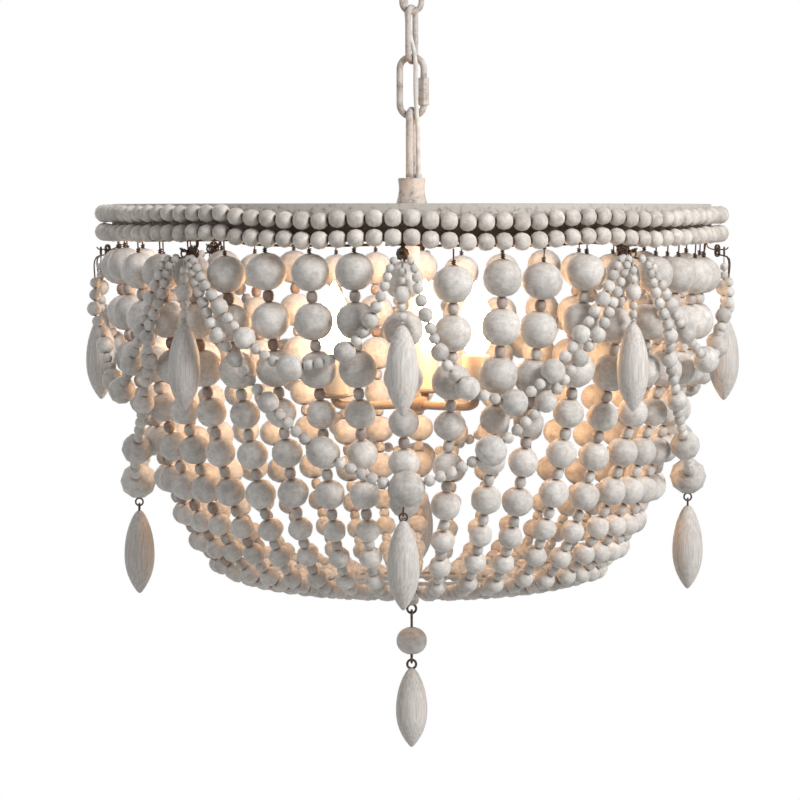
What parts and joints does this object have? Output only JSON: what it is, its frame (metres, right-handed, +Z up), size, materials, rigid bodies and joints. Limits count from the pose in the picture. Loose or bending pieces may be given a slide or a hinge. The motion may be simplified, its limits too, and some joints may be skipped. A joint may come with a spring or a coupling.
{
  "type": "beaded chandelier",
  "caption": "Bowl-shaped beaded chandelier: strands of whitewashed wooden beads on a banded ring, with swags, turned drops, candle lamps, a chain and a ceiling canopy.",
  "frame": {"origin": "centre of the mounting plate's top face, against the ceiling", "axes": "+Z up out of the ceiling face, -Y towards the viewer, +X to the viewer's right"},
  "size_m": [0.5242, 0.5242, 0.6822],
  "materials": {
    "steel": "plain zinc-plated strip, out of sight above the canopy",
    "cream_metal": "antique cream paint, rubbed through to brown at edges",
    "distressed_iron": "antique cream paint over brown iron, worn on the bends",
    "ring_bead": "whitewashed turned wood with brown seams between the beads",
    "strand_bead": "dry-brushed whitewash over brown wood, matt, fine grain streaks",
    "swag_bead": "whitewashed round beads on dark wire, matt",
    "turned_drop": "grey-white wash with long grain scratches, matt",
    "candle_sleeve": "ivory candle sleeve",
    "bulb": "warm clear candle bulb, lit",
    "lamp_cord": "pale translucent two-core cord"
  },
  "bodies": {
    "ceiling_fitting": {"mounting_plate": "steel", "ceiling_canopy": "cream_metal", "canopy_loop": "distressed_iron", "lamp_cord_1": "lamp_cord"},
    "upper_link_body": {"upper_link": "distressed_iron", "lamp_cord_2": "lamp_cord"},
    "lower_link_body": {"lower_link": "distressed_iron", "lamp_cord_3": "lamp_cord"},
    "quick_link_body": {"quick_link": "distressed_iron", "lamp_cord_4": "lamp_cord"},
    "quick_link_nut": {"quick_link_sleeve": "distressed_iron"},
    "fixture": {"hanging_loop": "distressed_iron", "top_cap": "cream_metal", "centre_column": "cream_metal", "ring_frame": "cream_metal", "upper_bead_row": "ring_bead", "lower_bead_row": "ring_bead", "strand_group_1": "strand_bead", "strand_group_2": "strand_bead", "strand_group_3": "strand_bead", "strand_group_4": "strand_bead", "strand_group_5": "strand_bead", "strand_group_6": "strand_bead", "strand_group_7": "strand_bead", "strand_group_8": "strand_bead", "short_swag_1": "swag_bead", "short_swag_2": "swag_bead", "short_swag_3": "swag_bead", "short_swag_4": "swag_bead", "short_swag_5": "swag_bead", "short_swag_6": "swag_bead", "short_swag_7": "swag_bead", "short_swag_8": "swag_bead", "long_swag_1": "swag_bead", "long_swag_2": "swag_bead", "long_swag_3": "swag_bead", "long_swag_4": "swag_bead", "foot_ring": "cream_metal", "lamp_arms": "cream_metal", "candle_sleeve_1": "candle_sleeve", "candle_sleeve_2": "candle_sleeve", "candle_sleeve_3": "candle_sleeve", "bulb_1": "bulb", "bulb_2": "bulb", "bulb_3": "bulb"},
    "tassel_1_body": {"tassel_1": "turned_drop"},
    "tassel_2_body": {"tassel_2": "turned_drop"},
    "tassel_3_body": {"tassel_3": "turned_drop"},
    "tassel_4_body": {"tassel_4": "turned_drop"},
    "tassel_5_body": {"tassel_5": "turned_drop"},
    "tassel_6_body": {"tassel_6": "turned_drop"},
    "tassel_7_body": {"tassel_7": "turned_drop"},
    "tassel_8_body": {"tassel_8": "turned_drop"},
    "low_drop_1_body": {"low_drop_1": "turned_drop"},
    "low_drop_2_body": {"low_drop_2": "turned_drop"},
    "low_drop_3_body": {"low_drop_3": "turned_drop"},
    "low_drop_4_body": {"low_drop_4": "turned_drop"},
    "finial_bead_body": {"finial_bead": "strand_bead"},
    "finial_drop_body": {"finial_drop": "turned_drop"}
  },
  "joints": [
    {"name": "upper_link_swing", "type": "hinge", "parent": "ceiling_fitting", "child": "upper_link_body", "pos_m": [0, 0, -0.0469], "axis": [1, 0, 0], "range_deg": [-12, 12], "deforming": ["lamp_cord_1"]},
    {"name": "lower_link_swing", "type": "hinge", "parent": "upper_link_body", "child": "lower_link_body", "pos_m": [0, 0, -0.0866], "axis": [0.3746, 0.9272, 0], "range_deg": [-12, 12], "deforming": ["lamp_cord_2"]},
    {"name": "quick_link_swing", "type": "hinge", "parent": "lower_link_body", "child": "quick_link_body", "pos_m": [0, 0, -0.12615], "axis": [1, 0, 0], "range_deg": [-12, 12], "deforming": ["lamp_cord_3"]},
    {"name": "quick_link_nut_travel", "type": "slide", "parent": "quick_link_body", "child": "quick_link_nut", "axis": [0, 0, 1], "range_m": [0, 0.007]},
    {"name": "fixture_swing", "type": "hinge", "parent": "quick_link_body", "child": "fixture", "pos_m": [0, 0, -0.169], "axis": [0.2588, 0.9659, 0], "range_deg": [-12, 12], "deforming": ["lamp_cord_4"]},
    {"name": "tassel_1_swing", "type": "hinge", "parent": "fixture", "child": "tassel_1_body", "pos_m": [-0.00699, -0.25024, -0.2787], "axis": [-0.9996, 0.0279, 0], "range_deg": [0, 30]},
    {"name": "tassel_2_swing", "type": "hinge", "parent": "fixture", "child": "tassel_2_body", "pos_m": [0.16686, -0.18662, -0.2787], "axis": [-0.7455, -0.6665, 0], "range_deg": [0, 30]},
    {"name": "tassel_3_swing", "type": "hinge", "parent": "fixture", "child": "tassel_3_body", "pos_m": [0.25024, -0.00699, -0.2787], "axis": [-0.0279, -0.9996, 0], "range_deg": [0, 30]},
    {"name": "tassel_4_swing", "type": "hinge", "parent": "fixture", "child": "tassel_4_body", "pos_m": [0.18189, 0.17201, -0.2787], "axis": [0.6871, -0.7266, 0], "range_deg": [0, 30]},
    {"name": "tassel_5_swing", "type": "hinge", "parent": "fixture", "child": "tassel_5_body", "pos_m": [0.00699, 0.25024, -0.2787], "axis": [0.9996, -0.0279, 0], "range_deg": [0, 30]},
    {"name": "tassel_6_swing", "type": "hinge", "parent": "fixture", "child": "tassel_6_body", "pos_m": [-0.17201, 0.18189, -0.2787], "axis": [0.7266, 0.6871, 0], "range_deg": [0, 30]},
    {"name": "tassel_7_swing", "type": "hinge", "parent": "fixture", "child": "tassel_7_body", "pos_m": [-0.25024, 0.00699, -0.2787], "axis": [0.0279, 0.9996, 0], "range_deg": [0, 30]},
    {"name": "tassel_8_swing", "type": "hinge", "parent": "fixture", "child": "tassel_8_body", "pos_m": [-0.17201, -0.18189, -0.2787], "axis": [-0.7266, 0.6871, 0], "range_deg": [0, 30]},
    {"name": "low_drop_1_swing", "type": "hinge", "parent": "fixture", "child": "low_drop_1_body", "pos_m": [-0.00625, -0.22379, -0.47525], "axis": [-0.9996, 0.0279, 0], "range_deg": [-8, 30]},
    {"name": "low_drop_2_swing", "type": "hinge", "parent": "fixture", "child": "low_drop_2_body", "pos_m": [0.22196, -0.0062, -0.48035], "axis": [-0.0279, -0.9996, 0], "range_deg": [-8, 30]},
    {"name": "low_drop_3_swing", "type": "hinge", "parent": "fixture", "child": "low_drop_3_body", "pos_m": [0.0062, 0.22196, -0.48035], "axis": [0.9996, -0.0279, 0], "range_deg": [-8, 30]},
    {"name": "low_drop_4_swing", "type": "hinge", "parent": "fixture", "child": "low_drop_4_body", "pos_m": [-0.21998, 0.00614, -0.48545], "axis": [0.0279, 0.9996, 0], "range_deg": [-8, 30]},
    {"name": "finial_bead_swing", "type": "hinge", "parent": "fixture", "child": "finial_bead_body", "pos_m": [0, 0, -0.5737], "axis": [0.9996, -0.0279, 0], "range_deg": [-25, 25]},
    {"name": "finial_drop_swing", "type": "hinge", "parent": "finial_bead_body", "child": "finial_drop_body", "pos_m": [0, 0, -0.6138], "axis": [0.0279, 0.9996, 0], "range_deg": [-30, 30]}
  ]
}
